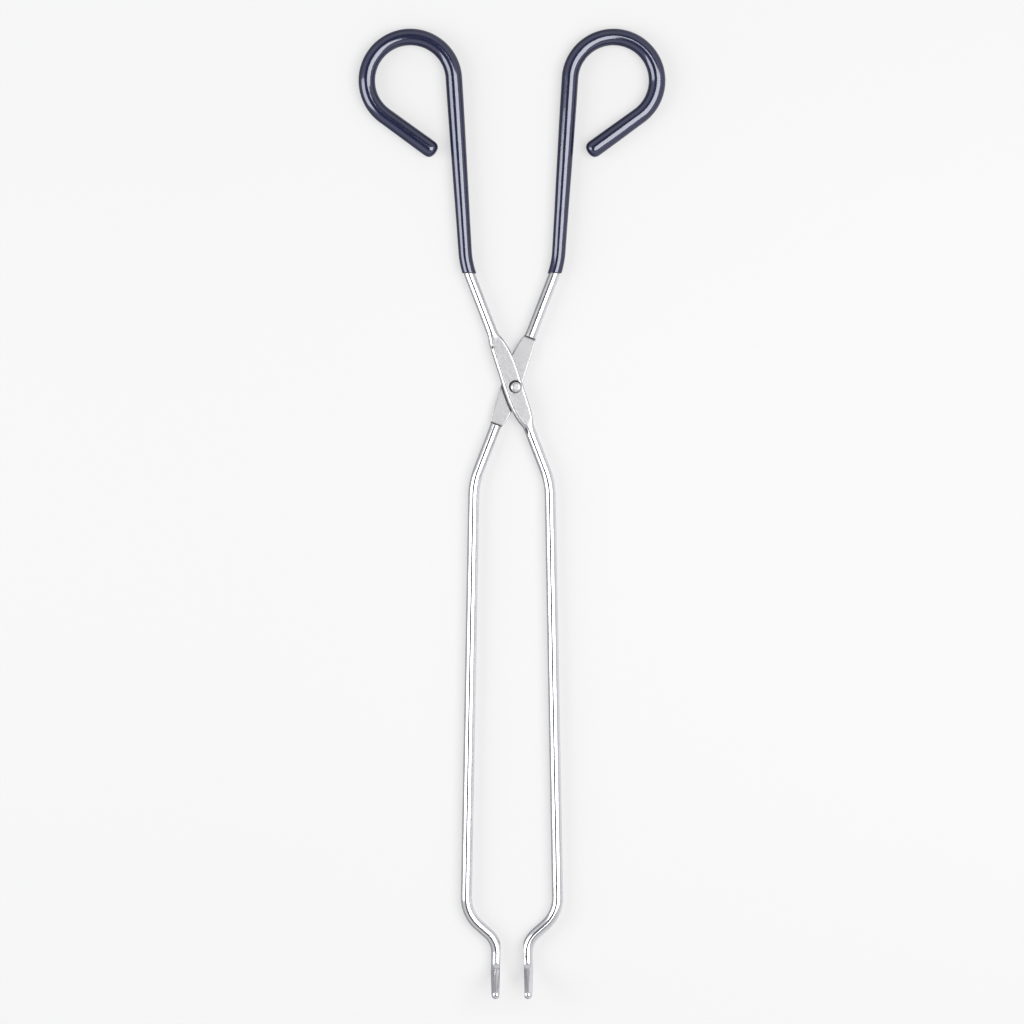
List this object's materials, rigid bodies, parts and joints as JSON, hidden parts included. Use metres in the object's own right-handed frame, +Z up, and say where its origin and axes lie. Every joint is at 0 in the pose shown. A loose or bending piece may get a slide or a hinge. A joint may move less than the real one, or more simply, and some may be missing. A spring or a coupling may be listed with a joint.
{
  "type": "crucible tongs",
  "caption": "Long scissor crucible tongs of bent steel rod, riveted half-lap pivot, plastic-coated finger loops, upturned serrated jaw tips.",
  "frame": {"origin": "on the rivet's axis, at the flat end of the rivet's lower head", "axes": "the tongs lie flat: +Z up along the rivet, away from the bench; +Y towards the finger loops; -Y towards the jaws; +X towards the front arm's jaw"},
  "size_m": [0.169, 0.5323, 0.0254],
  "materials": {
    "rod_steel": "polished rod, satin on the pressed flats",
    "grip_plastic": "glossy dipped plastic, navy blue",
    "rivet_steel": "polished"
  },
  "bodies": {
    "rear_half": {"rear_arm": "rod_steel", "rear_grip": "grip_plastic", "rivet": "rivet_steel"},
    "front_half": {"front_arm": "rod_steel", "front_grip": "grip_plastic"}
  },
  "joints": [
    {"name": "pivot", "type": "hinge", "parent": "rear_half", "child": "front_half", "pos_m": [0, 0, 0.0042], "axis": [0, 0, 1], "range_deg": [-2.36, 30]}
  ]
}
